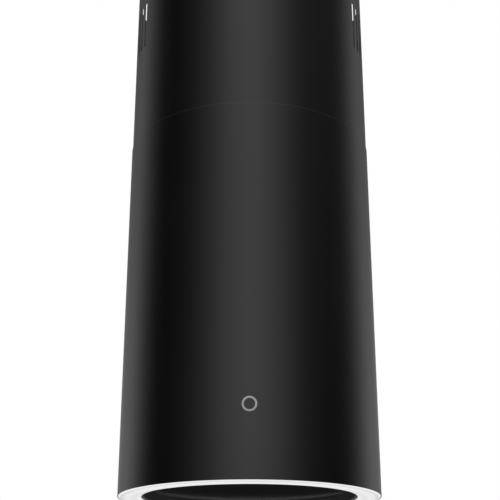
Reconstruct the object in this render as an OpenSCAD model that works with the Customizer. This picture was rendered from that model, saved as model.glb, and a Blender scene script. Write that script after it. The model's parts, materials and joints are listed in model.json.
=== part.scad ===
// Ceiling-mounted cylindrical island cooker hood with a telescopic chimney.
// Millimetres. The origin is the centre of the ceiling bracket's top face, +Z is up and the
// front is -Y. Heights whose names end in _u are measured up from the lower shell's rim.

/* [Body] */
// Outside diameter of the lower shell
body_d = 350; // [348:1:360]
// Height of the lower shell
body_h = 500; // [480:5:540]
// Ceiling to rim, with the chimney at its middle setting
total_h = 768; // [764:2:780]
// Wall of the lower shell and of the chimney
sheet = 0.8; // [0.6:0.1:0.9]

/* [Chimney] */
// Length of the upper chimney tube
chimney_h = 450; // [430:5:470]
// Ventilation slots on each side of the chimney
vent_count = 12; // [6:1:13]
// Angle between two slots, in degrees
vent_pitch = 4.95; // [4.5:0.05:5.2]
// Width of a slot
vent_w = 5; // [3:0.5:8]
// Length of a slot, over its round ends
vent_len = 75; // [60:5:80]
// Ceiling to the top of the slots
vent_drop = 49; // [36:1:50]

/* [Ring light] */
// Width of the white diffuser
ring_w = 30.4; // [28:0.2:32]
// How far the diffuser bulges below the rim
ring_bulge = 2.5; // [1:0.5:4]
// LEDs on the ring board
led_count = 48; // [24:6:72]

/* [Suction panel] */
// Air gap between the panel's edge and the throat
panel_gap = 10.8; // [10:0.2:14]
// Rim to the panel's face
panel_recess = 8; // [7:0.5:9]
// Depth of the panel's folded edge
panel_edge = 12; // [10:1:13]

/* [Grease filter] */
// Diameter of the filter
filter_d = 248; // [240:2:250]
// Thickness of the filter
filter_t = 8.8; // [8:0.2:9]

/* [Blower] */
// Outside diameter of the double-inlet impeller
impeller_d = 128; // [120:2:130]
// Width of the impeller
impeller_w = 96; // [80:2:98]
// Blades in the impeller
blade_count = 36; // [24:2:44]
// Blower axis, left of the hood's centre line
blower_x = -50; // [-54:1:-46]
// Blower axis above the rim
blower_u = 190; // [186:1:194]

/* [Outlet] */
// Outside diameter of the duct collar
collar_d = 149; // [140:1:150]
// Height of the collar above its flange
collar_h = 40; // [36:1:44]

/* [Badge] */
// Outside diameter of the plain ring badge
badge_d = 19; // [14:1:22]
// Centre of the badge above the rim
badge_u = 90; // [70:5:120]

/* [Hidden] */
$fn = 96;
small_fn = 32;

// Shells
body_r = body_d / 2;
body_ri = body_r - sheet;
slip = 0.2;
chimney_r = body_ri - slip;
chimney_ri = chimney_r - sheet;

// Base ring, which carries the light and the intake plate
skirt_r = body_ri - 0.6;
skirt_t = 1.2;
throat_r = body_r - 34.5;
plate_t = 1.5;
ring_top_u = 25.5;
ring_plate_u = ring_top_u - plate_t;
stud_u = 16;
stud_r = 2;

// Light
diffuser_ro = body_ri - 0.3;
diffuser_ri = diffuser_ro - ring_w;
diffuser_mid = (diffuser_ro + diffuser_ri) / 2;
bulge_r = ring_w * ring_w / (8 * ring_bulge) + ring_bulge / 2;
clip_r = throat_r + plate_t + 0.1;
led_t = 0.8;
board_w = 16;
board_u = ring_plate_u - 1.7;

// Throat and grease filter
throat_ri = throat_r - 1.7;
throat_ro = throat_ri + 1.4;
throat_top_u = 56;
intake_t = 1.2;
intake_hole_r = 112;
intake_bolt_r = throat_r + 4.5;
filter_r = filter_d / 2;
filter_top_u = throat_top_u - intake_t - 0.2;
filter_u = filter_top_u - filter_t;
latch_w = 16;
latch_t = 2.4;
latch_u = filter_u - 1.2 - latch_t;
latch_tip = filter_r + 7;
latch_len = 39;

// Suction panel and its hinge
panel_r = throat_ri - panel_gap;
hinge_y = panel_r;
hinge_u = 12;
hinge_pin_r = 1.5;
hinge_eye_r = 3.2;
hinge_eye_w = 6;
panel_eye_x = 28;
fixed_eye_x = 35;
magnet_r = 5;
magnet_t = 4;
magnet_angle = 25;
magnet_u = panel_recess + panel_edge;

// Telescopic frame: the lower angles run outside the upper angles
frame_half = 117.4;
angle_leg = 20;
angle_t = 1.5;
inner_half = frame_half - angle_t - slip;
bolt_y = 104.5;
bolt_r = 2.5;
bracket_t = 2;
flange_h = 20;
upper_angle_len = 318;
lower_angle_top_u = 610;
clamp_u = 600;
slot_top_z = -34;
slot_len = 272;
duct_hole_r = 108;
ceiling_bolt_r = 130;
ceiling_hole_r = 4.25;
lug_r = chimney_ri - 1.5;
lug_w = 24;

// Blower plate, collar and flaps
blower_plate_u = 310;
plate_top_u = blower_plate_u + plate_t;
collar_r = collar_d / 2;
collar_ri = collar_r - 1.5;
collar_u = plate_top_u + 0.1;
collar_flange_t = 1.4;
collar_flange_r = collar_r + 13;
flap_ledge_u = collar_u + 5.5;
flap_ledge_t = 1.3;
flap_t = 1.2;
flap_u = flap_ledge_u + flap_ledge_t + slip;
flap_axis_x = 3;
flap_axis_u = flap_u + 2.5;
flap_r = collar_ri - 1;
flap_eye_r = 2.4;

// Blower, drawn with its axis as local z (towards the front) and local y up
housing_half = 58;
wall = 2;
scroll_step = 14;
scroll_r = 78;
outlet_x0 = 8;
outlet_x1 = scroll_step / 2 + scroll_r + 2 * scroll_step;
outlet_top = blower_plate_u - blower_u;
ear_reach = 3.8;
inlet_r = 60;
impeller_r = impeller_d / 2;
impeller_ri = impeller_r - 10;
inlet_face = housing_half + 2.1;
motor_r = 38;
motor_face = inlet_face;
shaft_r = 4;
bearing_r = 9.5;
bearing_w = 6;
core_z = 20;
core_len = 28;
cassette_r = 90;
cassette_z = 62;
cassette_t = 24;
cassette_ri = 71.4;
lug_angle = 24;

// Electrics
box_w = 120;
box_y = 90;
box_d = 22;
box_h = 80;
box_u = plate_top_u + 0.1;
cable_r = 3.5;
cable_x = 40;
cable_y = box_y + box_d / 2;

// --- helpers -------------------------------------------------------------------------

module at_u(u) translate([0, 0, u - total_h]) children();

module block(low, high) translate(low) cube(high - low);

module ring(r_in, r_out, h)
    difference() {
        cylinder(r = r_out, h = h);
        translate([0, 0, -1]) cylinder(r = r_in, h = h + 2);
    }

// A piece of a ring, centred on an angle
module sector(r_in, r_out, h, middle, width)
    rotate([0, 0, middle - width / 2])
        rotate_extrude(angle = width) translate([r_in, 0]) square([r_out - r_in, h]);

module around(count, start = 0)
    for (i = [0 : count - 1]) rotate([0, 0, start + i * 360 / count]) children();

// Local z runs towards the front from the plane y = 0
module at_blower() at_u(blower_u) translate([blower_x, 0, 0]) rotate([90, 0, 0]) children();

module mirrored_in_y() mirror([0, 1, 0]) children();

// The eight places where bolts cross the legs of the frame's angles; local z points outwards
module frame_bolt_places()
    around(4) for (side = [-1, 1]) translate([0, side * bolt_y, 0]) rotate([0, 90, 0]) children();

module frame_holes()
    frame_bolt_places() translate([0, 0, inner_half - 10]) cylinder(r = bolt_r + 0.1, h = 15, $fn = small_fn);

// A hexagon bolt through a leg and its nut; the grip runs between the two radii
module frame_bolts(nut_face)
    frame_bolt_places() {
        translate([0, 0, nut_face - 5]) cylinder(r = bolt_r, h = frame_half - nut_face + 5, $fn = small_fn);
        translate([0, 0, frame_half]) cylinder(r = 4.6, h = 3.2, $fn = 6);
        translate([0, 0, nut_face - 4]) cylinder(r = 4.4, h = 4, $fn = 6);
    }

// One angle at each corner, outer faces on x = half and y = half
module angles(half, h)
    around(4) linear_extrude(h) difference() {
        translate([half - angle_leg, half - angle_leg]) square(angle_leg);
        translate([half - angle_leg - 1, half - angle_leg - 1]) square(angle_leg - angle_t + 1);
    }

// A square plate with its edges folded down, open at the corners
module folded_plate(half, t, fold)
    union() {
        translate([-half, -half, -t]) cube([2 * half, 2 * half, t]);
        around(4) block([half - angle_t, 8 - inner_half, -t - fold], [half, inner_half - 8, -t]);
    }

module pan_screw(shank_r, shank_len, head_r, head_h)
    union() {
        translate([0, 0, -shank_len]) cylinder(r = shank_r, h = shank_len, $fn = small_fn);
        cylinder(r = head_r, h = head_h, $fn = small_fn);
    }

// --- ceiling group -------------------------------------------------------------------

module ceiling_bracket()
    color("silver") difference() {
        union() {
            folded_plate(frame_half, bracket_t, flange_h);
            around(4, 45) {
                block([frame_half, -lug_w / 2, -bracket_t], [lug_r, lug_w / 2, 0]);
                block([lug_r - angle_t, -lug_w / 2, -bracket_t - flange_h], [lug_r, lug_w / 2, 0]);
            }
        }
        translate([0, 0, -bracket_t - 1]) cylinder(r = duct_hole_r, h = bracket_t + 2);
        around(4, 45) {
            translate([ceiling_bolt_r, 0, -bracket_t - 1])
                cylinder(r = ceiling_hole_r, h = bracket_t + 2, $fn = small_fn);
            translate([lug_r - 5, 0, -bracket_t - flange_h / 2]) rotate([0, 90, 0])
                cylinder(r = 2, h = 10, $fn = small_fn);
        }
        translate([0, 0, -bracket_t - flange_h / 2]) frame_holes();
    }

module vent()
    translate([chimney_ri - 8, 0, -vent_drop - vent_len / 2]) rotate([0, 90, 0]) linear_extrude(12)
        union() {
            square([vent_len - vent_w, vent_w], center = true);
            for (end = [-1, 1]) translate([end * (vent_len - vent_w) / 2, 0])
                circle(d = vent_w, $fn = small_fn);
        }

module upper_chimney()
    color([0.035, 0.035, 0.037]) difference() {
        translate([0, 0, -chimney_h]) ring(chimney_ri, chimney_r, chimney_h);
        for (side = [0, 180], i = [0 : vent_count - 1])
            rotate([0, 0, side + (i - (vent_count - 1) / 2) * vent_pitch]) vent();
        around(4, 45) translate([chimney_ri - 5, 0, -bracket_t - flange_h / 2]) rotate([0, 90, 0])
            cylinder(r = 2, h = 10, $fn = small_fn);
    }

module chimney_screws()
    color([0.05, 0.05, 0.05]) around(4, 45)
        translate([chimney_r + 0.1, 0, -bracket_t - flange_h / 2]) rotate([0, 90, 0])
            pan_screw(1.9, chimney_r - lug_r + 4, 3.6, 2);

module upper_uprights()
    color("silver") difference() {
        translate([0, 0, -bracket_t - upper_angle_len]) angles(inner_half, upper_angle_len);
        translate([0, 0, -bracket_t - flange_h / 2]) frame_holes();
        frame_bolt_places() translate([0, 0, inner_half - 10]) linear_extrude(15) union() {
            translate([-slot_top_z, 0]) circle(r = bolt_r + slip, $fn = small_fn);
            translate([-slot_top_z, -bolt_r - slip]) square([slot_len, 2 * (bolt_r + slip)]);
            translate([-slot_top_z + slot_len, 0]) circle(r = bolt_r + slip, $fn = small_fn);
        }
    }

module bracket_screws()
    color("gainsboro") translate([0, 0, -bracket_t - flange_h / 2])
        frame_bolts(inner_half - angle_t - 0.1);

// --- lower shell and light -----------------------------------------------------------

module lower_shell()
    color([0.035, 0.035, 0.037]) union() {
        at_u(0) ring(body_ri, body_r, body_h);
        at_u(stud_u) around(4, 45) translate([skirt_r - 8, 0, 0]) rotate([0, 90, 0])
            cylinder(r = stud_r, h = body_ri - skirt_r + 8.4, $fn = small_fn);
    }

module shell_nuts()
    color("gainsboro") at_u(stud_u) around(4, 45) translate([skirt_r - skirt_t - 3.4, 0, 0])
        rotate([0, 90, 0]) difference() {
            cylinder(r = 3.8, h = 3.2, $fn = 6);
            translate([0, 0, -1]) cylinder(r = stud_r + 0.02, h = 6, $fn = small_fn);
        }

module front_badge()
    color([0.62, 0.62, 0.62]) at_u(badge_u) intersection() {
        translate([0, 0, -badge_d]) ring(body_r + 0.02, body_r + 0.5, 2 * badge_d);
        rotate([90, 0, 0]) translate([0, 0, body_r - 5]) ring(badge_d * 0.36, badge_d / 2, 10);
    }

module light_diffuser()
    color("white") at_u(0) rotate_extrude() union() {
        intersection() {
            translate([diffuser_mid, bulge_r - ring_bulge]) circle(r = bulge_r);
            translate([diffuser_ri, -ring_bulge - 1]) square([ring_w, ring_bulge + 2.5]);
        }
        translate([diffuser_ri, 0]) square([ring_w, 2]);
        translate([diffuser_ri, 0]) square([1.5, 7]);
        translate([diffuser_ro - 2, 0]) square([2, 7.4]);
    }

module diffuser_clips()
    color("silver") at_u(0) around(6, 28) rotate_extrude(angle = 4) union() {
        translate([clip_r, 3]) square([1.2, 5.4]);
        translate([clip_r, 7.2]) square([4, 1.2]);
    }

module led_board()
    color("white") at_u(board_u) ring(diffuser_mid - board_w / 2, diffuser_mid + board_w / 2, 1.6);

module led_chips()
    color("lemonchiffon") at_u(board_u - 0.1 - led_t) around(led_count)
        translate([diffuser_mid - 1.5, -1.5, 0]) cube([3, 3, led_t]);

module base_ring()
    color([0.06, 0.06, 0.06]) difference() {
        union() {
            at_u(ring_plate_u) ring(throat_r, skirt_r, plate_t);
            at_u(2) ring(throat_r, throat_r + plate_t, ring_top_u - 2);
            at_u(8) ring(skirt_r - skirt_t, skirt_r, ring_top_u - 8);
            at_u(ring_top_u) around(4) for (side = [-1, 1]) translate([0, side * bolt_y - 7, -1])
                block([inner_half - angle_t + 0.1, 0, 0], [inner_half + 0.1, 14, flange_h + 1]);
        }
        at_u(ring_top_u + 11) frame_holes();
        at_u(stud_u) around(4, 45) translate([skirt_r - 5, 0, 0]) rotate([0, 90, 0])
            cylinder(r = stud_r + slip, h = 10, $fn = small_fn);
        at_u(ring_plate_u - 1) around(6) translate([intake_bolt_r, 0, 0])
            cylinder(r = 1.7, h = 4, $fn = small_fn);
    }

// --- throat, grease filter and suction panel -----------------------------------------

module intake_plate()
    color([0.06, 0.06, 0.06]) difference() {
        union() {
            at_u(ring_top_u + 0.1) ring(throat_ri, intake_bolt_r + 4.5, intake_t);
            at_u(ring_top_u + 0.1) ring(throat_ri, throat_ro, throat_top_u - ring_top_u - 0.1);
            at_u(throat_top_u - intake_t) ring(intake_hole_r, throat_ro, intake_t);
        }
        at_u(ring_top_u - 1) around(6) translate([intake_bolt_r, 0, 0])
            cylinder(r = 1.7, h = 4, $fn = small_fn);
    }

module intake_screws()
    color("gainsboro") at_u(ring_top_u + 0.1 + intake_t) around(6)
        translate([intake_bolt_r, 0, 0]) pan_screw(1.6, 5.5, 3, 2);

// The fixed half of each panel hinge, standing on the throat's wall
module hinge_brackets()
    color([0.06, 0.06, 0.06]) for (side = [0, 1]) mirror([side, 0, 0]) {
        at_u(hinge_u) difference() {
            union() {
                translate([fixed_eye_x, hinge_y, 0]) rotate([0, 90, 0])
                    cylinder(r = hinge_eye_r, h = hinge_eye_w, $fn = small_fn);
                intersection() {
                    union() {
                        block([fixed_eye_x, hinge_y + hinge_eye_r - 1.4, 0],
                              [fixed_eye_x + hinge_eye_w, hinge_y + hinge_eye_r, 18]);
                        block([fixed_eye_x, hinge_y + hinge_eye_r - 1.4, 16.6],
                              [fixed_eye_x + hinge_eye_w, throat_ri, 18]);
                    }
                    cylinder(r = throat_ri - 0.6, h = 20);
                }
            }
            translate([fixed_eye_x - 1, hinge_y, 0]) rotate([0, 90, 0])
                cylinder(r = hinge_pin_r + 0.02, h = hinge_eye_w + 2, $fn = small_fn);
        }
        at_u(hinge_u + 16.6) sector(throat_ri - 1.3, throat_ri - 0.1, 16, 74, 5);
    }

module hinge_pins()
    color("silver") at_u(hinge_u) for (side = [0, 1]) mirror([side, 0, 0])
        translate([panel_eye_x - 1, hinge_y, 0]) rotate([0, 90, 0])
            cylinder(r = hinge_pin_r, h = fixed_eye_x + hinge_eye_w + 2 - panel_eye_x, $fn = small_fn);

module filter_frame()
    color("lightgray") union() {
        at_u(filter_u) difference() {
            ring(filter_r - 8, filter_r, filter_t);
            translate([0, 0, 1.2]) ring(filter_r - 9, filter_r - 1.2, filter_t - 2.4);
        }
        // plate and two staples that guide the latch
        at_u(filter_u - 1) block([-14, 1 - filter_r, 0], [14, 38 - filter_r, 1]);
        for (y = [3, 23]) at_u(latch_u - 1.3) translate([0, y - filter_r, 0]) difference() {
            block([-10, 0, 0], [10, 5, filter_u - 0.5 - latch_u + 1.3]);
            block([-latch_w / 2 - slip, -1, 1.1], [latch_w / 2 + slip, 6, 1.5 + latch_t]);
        }
    }

// Expanded metal, drawn as a plate with rings of holes
module filter_mesh()
    color("silver") at_u(filter_u + 1.3) difference() {
        cylinder(r = filter_r - 1.4, h = filter_t - 2.6);
        for (band = [0 : 4]) around(max(1, 6 * band)) translate([23 * band, 0, -1])
            cylinder(r = 9, h = filter_t, $fn = small_fn);
    }

// Two rear hooks and the front keeper that the latch rests on
module filter_supports()
    color([0.06, 0.06, 0.06]) {
        for (middle = [70, 110]) {
            at_u(filter_u - 1.6) sector(filter_r - 2, filter_r + 3, 1.4, middle, 6);
            at_u(filter_u - 1.6) sector(filter_r + 1.6, filter_r + 3, filter_t + 1.6, middle, 6);
        }
        at_u(latch_u - 1.6) intersection() {
            block([-12, -throat_ri, 0], [12, -filter_r - 3, 1.4]);
            cylinder(r = throat_ri - 0.6, h = 2);
        }
        at_u(latch_u - 1.6) sector(throat_ri - 1.3, throat_ri - 0.1, 14, -90, 10);
    }

// Steel shelves that the panel's magnets pull against
module magnet_strikers()
    color("silver") for (side = [-1, 1]) {
        at_u(magnet_u + magnet_t + slip) sector(panel_r - 1.5, throat_ri - 0.1, 1.2, -90 + side * magnet_angle, 7);
        at_u(magnet_u + magnet_t + slip) sector(throat_ri - 1.3, throat_ri - 0.1, 12, -90 + side * magnet_angle, 7);
    }

module suction_panel()
    color([0.04, 0.04, 0.042]) difference() {
        union() {
            at_u(panel_recess) cylinder(r = panel_r, h = 1.2);
            at_u(panel_recess) ring(panel_r - 1.2, panel_r, panel_edge);
            at_u(hinge_u) for (side = [0, 1]) mirror([side, 0, 0]) {
                translate([panel_eye_x, hinge_y, 0]) rotate([0, 90, 0])
                    cylinder(r = hinge_eye_r, h = hinge_eye_w, $fn = small_fn);
                block([panel_eye_x, hinge_y - 5.5, -hinge_eye_r + 0.4],
                      [panel_eye_x + hinge_eye_w, hinge_y - 2, hinge_eye_r - 0.4]);
            }
            for (side = [-1, 1]) at_u(magnet_u - 1.2)
                sector(panel_r - 1, panel_r + 8, 1.2, -90 + side * magnet_angle, 6);
        }
        at_u(hinge_u) for (side = [0, 1]) mirror([side, 0, 0])
            translate([panel_eye_x - 1, hinge_y, 0]) rotate([0, 90, 0])
                cylinder(r = hinge_pin_r + 0.06, h = hinge_eye_w + 2, $fn = small_fn);
    }

module panel_magnets()
    color("dimgray") for (side = [-1, 1]) at_u(magnet_u) rotate([0, 0, side * magnet_angle])
        translate([0, -panel_r - 3, 0]) cylinder(r = magnet_r, h = magnet_t - slip, $fn = small_fn);

module filter_latch()
    color([0.1, 0.1, 0.1]) union() {
        at_u(latch_u) block([-latch_w / 2, -latch_tip, 0], [latch_w / 2, latch_len - latch_tip, latch_t]);
        at_u(latch_u - 10) block([-latch_w / 2, latch_len - 2 - latch_tip, 0],
                                 [latch_w / 2, latch_len - latch_tip, 11]);
    }

// --- frame ---------------------------------------------------------------------------

module lower_uprights()
    color("silver") difference() {
        at_u(ring_top_u + 0.1) angles(frame_half, lower_angle_top_u - ring_top_u - 0.1);
        for (u = [ring_top_u + 11, blower_plate_u - flange_h / 2, clamp_u]) at_u(u) frame_holes();
    }

module foot_bolts() color("gainsboro") at_u(ring_top_u + 11) frame_bolts(inner_half - angle_t);

module clamp_bolts() color("gainsboro") at_u(clamp_u) frame_bolts(inner_half - angle_t - slip);

module plate_bolts()
    color("gainsboro") at_u(blower_plate_u - flange_h / 2) frame_bolts(inner_half - angle_t - 0.1);

module blower_plate()
    color("silver") difference() {
        at_u(plate_top_u) folded_plate(inner_half, plate_t, flange_h);
        at_u(blower_plate_u - 1) linear_extrude(4) intersection() {
            circle(r = collar_ri - 1);
            translate([blower_x + outlet_x0 + wall, -housing_half + wall])
                square([outlet_x1 - outlet_x0 - 2 * wall, 2 * (housing_half - wall)]);
        }
        at_u(blower_plate_u - flange_h / 2) frame_holes();
        at_u(blower_plate_u - 1) {
            around(4) translate([collar_r + 8, 0, 0]) cylinder(r = 1.7, h = 4, $fn = small_fn);
            outlet_screw_places() cylinder(r = 2, h = 4, $fn = small_fn);
        }
    }

// --- outlet --------------------------------------------------------------------------

module outlet_collar()
    color([0.12, 0.12, 0.12]) difference() {
        union() {
            at_u(collar_u) ring(collar_ri, collar_flange_r, collar_flange_t);
            at_u(collar_u) ring(collar_ri, collar_r, collar_h);
            at_u(flap_ledge_u) ring(collar_ri - 4, collar_ri + 0.5, flap_ledge_t);
        }
        at_u(flap_axis_u) for (side = [-1, 1]) translate([side * flap_axis_x, -collar_r - 1, 0])
            rotate([-90, 0, 0]) cylinder(r = hinge_pin_r + 0.02, h = 2 * collar_r + 2, $fn = small_fn);
        at_u(collar_u - 1) around(4) translate([collar_r + 8, 0, 0])
            cylinder(r = 1.7, h = 4, $fn = small_fn);
    }

module collar_screws()
    color("gainsboro") at_u(collar_u + collar_flange_t) around(4)
        translate([collar_r + 8, 0, 0]) pan_screw(1.6, 6, 3.2, 1.8);

module flap_pins()
    color("silver") at_u(flap_axis_u) for (side = [-1, 1]) translate([side * flap_axis_x, 0, 0])
        rotate([90, 0, 0]) cylinder(r = hinge_pin_r, h = 2 * collar_r - 0.4, center = true, $fn = small_fn);

// Half-disc valve flap on the -X side; side = 1 turns it round for the +X side
module flap(side)
    rotate([0, 0, 180 * side]) difference() {
        union() {
            at_u(flap_u) intersection() {
                cylinder(r = flap_r, h = flap_t);
                block([-flap_r, -flap_r, -1], [-flap_axis_x, flap_r, flap_t + 1]);
            }
            at_u(flap_axis_u) translate([-flap_axis_x, 0, 0]) rotate([90, 0, 0])
                cylinder(r = flap_eye_r, h = 2 * flap_r - 6, center = true, $fn = small_fn);
        }
        at_u(flap_axis_u) translate([-flap_axis_x, 0, 0]) rotate([90, 0, 0])
            cylinder(r = hinge_pin_r + 0.06, h = 2 * flap_r, center = true, $fn = small_fn);
    }

module flap_left() color([0.15, 0.15, 0.15]) flap(0);

module flap_right() color([0.15, 0.15, 0.15]) flap(1);

// --- blower --------------------------------------------------------------------------

// Volute of three quarter circles whose centres step round a small square, and a straight
// outlet going up. inset shrinks it by the wall; reach is how far the first arc runs right.
module scroll(inset, reach)
    union() {
        intersection() {
            translate([-scroll_step / 2, -scroll_step / 2]) circle(r = scroll_r - inset);
            translate([-2 * scroll_r, -scroll_step / 2]) square([2 * scroll_r + reach, 2 * scroll_r]);
        }
        intersection() {
            translate([scroll_step / 2, -scroll_step / 2]) circle(r = scroll_r + scroll_step - inset);
            translate([scroll_step / 2 - 200, -scroll_step / 2 - 200]) square(200);
        }
        intersection() {
            translate([scroll_step / 2, scroll_step / 2]) circle(r = scroll_r + 2 * scroll_step - inset);
            translate([scroll_step / 2, scroll_step / 2 - 200]) square(200);
        }
        translate([outlet_x0 + inset, scroll_step / 2 - 0.01])
            square([outlet_x1 - outlet_x0 - 2 * inset, outlet_top - scroll_step / 2 + 0.01]);
    }

// Places of the ears that clamp the two halves, as [angle, centre x, centre y, radius]
ears = [
    [120, -scroll_step / 2, -scroll_step / 2, scroll_r],
    [180, -scroll_step / 2, -scroll_step / 2, scroll_r],
    [225, scroll_step / 2, -scroll_step / 2, scroll_r + scroll_step],
    [270, scroll_step / 2, -scroll_step / 2, scroll_r + scroll_step],
    [315, scroll_step / 2, scroll_step / 2, scroll_r + 2 * scroll_step],
    [360, scroll_step / 2, scroll_step / 2, scroll_r + 2 * scroll_step]
];

module ear_places()
    for (ear = ears) translate([ear[1], ear[2], 0]) rotate([0, 0, ear[0]])
        translate([ear[3] + ear_reach, 0, 0]) children();

// The four screws that hang the blower under its plate
module outlet_screw_places()
    for (x = [outlet_x0 - 7, outlet_x1 + 7], y = [-1, 1])
        translate([blower_x + x, y * (housing_half + 6), 0]) children();

module half_housing()
    union() {
        linear_extrude(housing_half) difference() {
            scroll(0, outlet_x0 + wall);
            scroll(wall, outlet_x0 + 2 * wall);
        }
        translate([0, 0, housing_half - wall]) linear_extrude(wall) difference() {
            scroll(wall / 2, outlet_x0 + wall);
            circle(r = inlet_r);
        }
        linear_extrude(3) difference() {
            ear_places() circle(r = 6, $fn = small_fn);
            ear_places() circle(r = 1.8, $fn = small_fn);
            scroll(wall / 2, outlet_x0 + wall);
        }
        difference() {
            block([outlet_x0 - 12, outlet_top - wall, 0], [outlet_x1 + 12, outlet_top, housing_half + 12]);
            block([outlet_x0 + wall, outlet_top - wall - 1, -1], [outlet_x1 - wall, outlet_top + 1, housing_half - wall]);
            for (x = [outlet_x0 - 7, outlet_x1 + 7])
                translate([x, outlet_top - wall - 1, housing_half + 6]) rotate([-90, 0, 0])
                    cylinder(r = 2, h = wall + 2, $fn = small_fn);
        }
    }

module blower_housing_front() color([0.13, 0.13, 0.14]) at_blower() half_housing();

module blower_housing_rear() color([0.13, 0.13, 0.14]) mirrored_in_y() at_blower() half_housing();

module housing_screws()
    color("gainsboro") at_blower() ear_places() {
        translate([0, 0, 3]) pan_screw(1.7, 6, 3.4, 2);
        translate([0, 0, -5.5]) cylinder(r = 3.4, h = 2.5, $fn = 6);
    }

module outlet_screws()
    color("gainsboro") at_u(blower_plate_u - wall) outlet_screw_places() mirror([0, 0, 1])
        pan_screw(1.9, wall + plate_t - 0.1, 3.6, 2);

module inlet_ring()
    union() {
        translate([0, 0, housing_half + 0.1]) ring(inlet_r - 2.5, 72, 2);
        translate([0, 0, housing_half - 6]) ring(inlet_r - 2.5, inlet_r - 0.8, 8.1);
        translate([0, 0, housing_half + 0.1]) ring(66, 68, 15.9);
        for (middle = [90, 210, 330]) translate([0, 0, 71.5]) sector(67, 71, 2.5, middle, lug_angle);
    }

module inlet_rings()
    color([0.16, 0.16, 0.17]) {
        at_blower() inlet_ring();
        mirrored_in_y() at_blower() inlet_ring();
    }

module motor_bracket()
    color("silver") at_blower() translate([0, 0, inlet_face + 0.1]) difference() {
        union() {
            ring(14, motor_r + 4, 1.5);
            around(3, 30) block([motor_r, -5, 0], [65.5, 5, 1.5]);
        }
        around(3, 30) for (r = [30, 62.2]) translate([r, 0, -1]) cylinder(r = 1.7, h = 4, $fn = small_fn);
    }

module motor_bracket_screws()
    color("gainsboro") at_blower() translate([0, 0, inlet_face + 1.6]) around(3, 30)
        for (r = [30, 62.2]) translate([r, 0, 0]) pan_screw(1.6, 1.6, 2.9, 1.8);

module motor_housing()
    color([0.5, 0.5, 0.52]) at_blower() union() {
        translate([0, 0, 8]) ring(motor_r - 1.5, motor_r, motor_face - 9.6);
        translate([0, 0, 8]) ring(5, motor_r, 1.5);
        translate([0, 0, 9]) ring(bearing_r + 0.05, bearing_r + 2.5, 7);
    }

module motor_end_cap()
    color([0.5, 0.5, 0.52]) at_blower() union() {
        translate([0, 0, motor_face - 1.5]) cylinder(r = motor_r, h = 1.5);
        translate([0, 0, motor_face - 8]) ring(bearing_r + 0.05, bearing_r + 2.5, 7);
    }

module stator_core()
    color([0.35, 0.35, 0.37]) at_blower() translate([0, 0, core_z]) difference() {
        ring(20.5, motor_r - 1.7, core_len);
        around(12) block([22.5, -2.5, -1], [31, 2.5, core_len + 1]);
    }

module stator_windings()
    color([0.72, 0.4, 0.2]) at_blower() for (z = [core_z - 3.4, core_z + core_len + 0.2])
        translate([0, 0, z]) ring(22.5, 34, 3.2);

module motor_bearings()
    color("silver") at_blower() for (z = [9.6, motor_face - 1.6 - bearing_w])
        translate([0, 0, z]) ring(shaft_r + 0.03, bearing_r, bearing_w);

module rotor_core()
    color([0.45, 0.45, 0.47]) at_blower() translate([0, 0, core_z]) ring(shaft_r + 0.02, 20, core_len);

module motor_shaft()
    color("silver") at_blower() union() {
        translate([0, 0, -13]) cylinder(r = shaft_r, h = 70, $fn = small_fn);
        // lock nut behind the hub
        translate([0, 0, -11.1]) cylinder(r = 7.2, h = 5, $fn = 6);
    }

module impeller()
    color([0.2, 0.2, 0.21]) at_blower() union() {
        translate([0, 0, -6]) ring(shaft_r + 0.02, 12, 12);
        translate([0, 0, -1]) ring(11, impeller_r, 2);
        for (z = [-impeller_w / 2, impeller_w / 2 - 2]) translate([0, 0, z]) ring(impeller_ri, impeller_r, 2);
        around(blade_count) translate([impeller_ri + 5, 0, -impeller_w / 2]) rotate([0, 0, 38])
            translate([-5.2, -0.6, 0]) cube([10.4, 1.2, impeller_w]);
    }

// Round cassette that turns on the inlet collar's three bayonet lugs
module cassette()
    union() {
        translate([0, 0, cassette_z]) ring(cassette_ri, cassette_r, cassette_t - 1);
        translate([0, 0, cassette_z + cassette_t - 1.5]) difference() {
            cylinder(r = cassette_r, h = 1.5);
            around(24) block([24, -2, -1], [68, 2, 3]);
        }
        for (middle = [90, 210, 330]) translate([0, 0, 66]) sector(68.3, cassette_ri + 1, 5.2, middle, lug_angle);
        // ribs to grip while turning
        around(12, 15) translate([0, 0, cassette_z + cassette_t - 0.1]) block([74, -1.5, 0], [88, 1.5, 3]);
    }

module charcoal_filter_front() color([0.08, 0.08, 0.08]) at_blower() cassette();

module charcoal_filter_rear() color([0.08, 0.08, 0.08]) mirrored_in_y() at_blower() cassette();

// --- electrics -----------------------------------------------------------------------

module control_box()
    color([0.75, 0.75, 0.76]) difference() {
        at_u(box_u) block([-box_w / 2, box_y, 0], [box_w / 2, box_y + box_d, box_h]);
        at_u(box_u) block([1.5 - box_w / 2, box_y + 1.5, 1.5], [box_w / 2 - 1.5, box_y + box_d + 1, box_h - 1.5]);
        at_u(box_u + box_h - 3) translate([cable_x, cable_y, 0]) cylinder(r = 5, h = 5, $fn = small_fn);
    }

module control_box_cover()
    color([0.75, 0.75, 0.76]) at_u(box_u) union() {
        block([-box_w / 2, box_y + box_d + 0.1, 0], [box_w / 2, box_y + box_d + 1.3, box_h]);
        for (x = [1.7 - box_w / 2, box_w / 2 - 2.9])
            block([x, box_y + box_d - 4, 2], [x + 1.2, box_y + box_d + 0.5, box_h - 2]);
    }

module control_board()
    color([0.05, 0.3, 0.12]) at_u(box_u) union() {
        block([-55, box_y + 3, 6], [25, box_y + 4.6, box_h - 6]);
        for (x = [-50, -32, -14]) block([x, box_y + 4.5, 12], [x + 13, box_y + 14, 30]);
        block([-48, box_y + 4.5, 44], [-8, box_y + 12, 56]);
        block([0, box_y + 4.5, 40], [20, box_y + 16, 64]);
    }

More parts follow.
